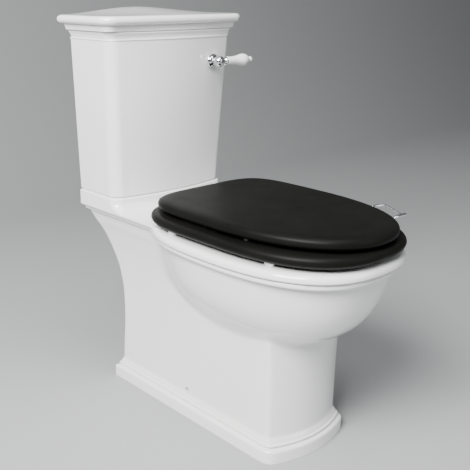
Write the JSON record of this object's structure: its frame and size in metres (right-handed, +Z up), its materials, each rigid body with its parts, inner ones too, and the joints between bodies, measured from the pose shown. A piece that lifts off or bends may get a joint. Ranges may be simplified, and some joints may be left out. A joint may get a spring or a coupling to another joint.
{
  "type": "close coupled toilet",
  "caption": "Floor-standing close coupled toilet with a cistern on the pan's shelf, a side-swept flush lever, a hinged seat and lid, and the valves and fixings inside.",
  "frame": {"origin": "on the floor, on the toilet's middle plane, at the centre of the underside of the tie rib at the back of the pan's foot, 82 mm in front of the wall", "axes": "+Z up, the front of the toilet faces -Y and the wall is the plane y = +0.082 m, +X to the viewer's right; every piece but the flush lever, the lifting handle and the fill valve is symmetric about x = 0"},
  "size_m": [0.4061, 0.6825, 0.7984],
  "materials": {
    "glazed_ceramic": "white glaze",
    "black_plastic": "satin black",
    "chrome": "polished",
    "steel": "plain",
    "brass": "plain",
    "white_plastic": "moulded",
    "grey_plastic": "moulded",
    "rubber": "matt"
  },
  "bodies": {
    "pan_and_cistern": {"pan": "glazed_ceramic", "cistern_tank": "glazed_ceramic", "lever_rose": "chrome", "hinge_post_left": "chrome", "hinge_post_right": "chrome", "hinge_pin_left": "steel", "hinge_pin_right": "steel", "seat_bolt_left": "steel", "seat_bolt_right": "steel", "coupling_bolt_left": "steel", "coupling_bolt_right": "steel", "coupling_washer_left": "steel", "coupling_washer_right": "steel", "floor_screw_left": "steel", "floor_screw_right": "steel", "side_screw_left": "steel", "side_screw_right": "steel", "wall_screw_left": "steel", "wall_screw_right": "steel", "lever_backnut": "brass", "coupling_wing_nut_left": "brass", "coupling_wing_nut_right": "brass", "fill_valve_cap": "white_plastic", "seat_wing_nut_left": "white_plastic", "seat_wing_nut_right": "white_plastic", "floor_bracket_left": "white_plastic", "floor_bracket_right": "white_plastic", "flush_valve_body": "grey_plastic", "flush_valve_backnut": "grey_plastic", "fill_valve_body": "grey_plastic", "fill_valve_backnut": "grey_plastic", "lever_washer": "rubber", "flush_valve_washer": "rubber", "coupling_doughnut": "rubber", "fill_valve_washer": "rubber", "seat_bolt_washer_left": "rubber", "seat_bolt_washer_right": "rubber", "coupling_seal_left": "rubber", "coupling_seal_right": "rubber", "wall_screw_washer_left": "rubber", "wall_screw_washer_right": "rubber"},
    "seat_ring": {"seat_ring": "black_plastic", "seat_buffer_front_left": "white_plastic", "seat_buffer_front_right": "white_plastic", "seat_buffer_rear_left": "white_plastic", "seat_buffer_rear_right": "white_plastic", "seat_handle": "chrome"},
    "seat_lid": {"seat_lid": "black_plastic", "lid_buffer_left": "rubber", "lid_buffer_right": "rubber"},
    "flush_lever": {"lever_hub": "chrome", "lever_grip": "glazed_ceramic", "lever_tip": "glazed_ceramic", "lever_spindle": "brass", "lift_arm": "grey_plastic"},
    "flush_valve": {"lift_link": "brass", "flush_valve_tube": "white_plastic", "flush_valve_seal": "rubber"},
    "fill_float": {"fill_valve_float": "white_plastic"},
    "cistern_lid": {"cistern_lid": "glazed_ceramic"}
  },
  "joints": [
    {"name": "seat_ring_hinge", "type": "hinge", "parent": "pan_and_cistern", "child": "seat_ring", "pos_m": [0, -0.146, 0.436], "axis": [-1, 0, 0], "range_deg": [0, 91]},
    {"name": "seat_lid_hinge", "type": "hinge", "parent": "seat_ring", "child": "seat_lid", "pos_m": [0, -0.146, 0.436], "axis": [1, 0, 0], "range_deg": [-91, 0]},
    {"name": "flush_lever_pivot", "type": "hinge", "parent": "pan_and_cistern", "child": "flush_lever", "pos_m": [0.092, -0.101, 0.691], "axis": [0, 1, 0], "range_deg": [0, 20], "stiffness_Nm_per_rad": 0.6, "springref_deg": -20.05},
    {"name": "flush_valve_lift", "type": "slide", "parent": "pan_and_cistern", "child": "flush_valve", "axis": [0, 0, 1], "range_m": [0, 0.036]},
    {"name": "fill_float_slide", "type": "slide", "parent": "pan_and_cistern", "child": "fill_float", "axis": [0, 0, 1], "range_m": [0, 0.04]},
    {"name": "cistern_lid_lift", "type": "slide", "parent": "pan_and_cistern", "child": "cistern_lid", "axis": [0, 0, 1], "range_m": [0, 0.3]}
  ],
  "couplings": [
    {"joint": "flush_valve_lift", "follows": "flush_lever_pivot", "m_per_rad": 0.1}
  ]
}
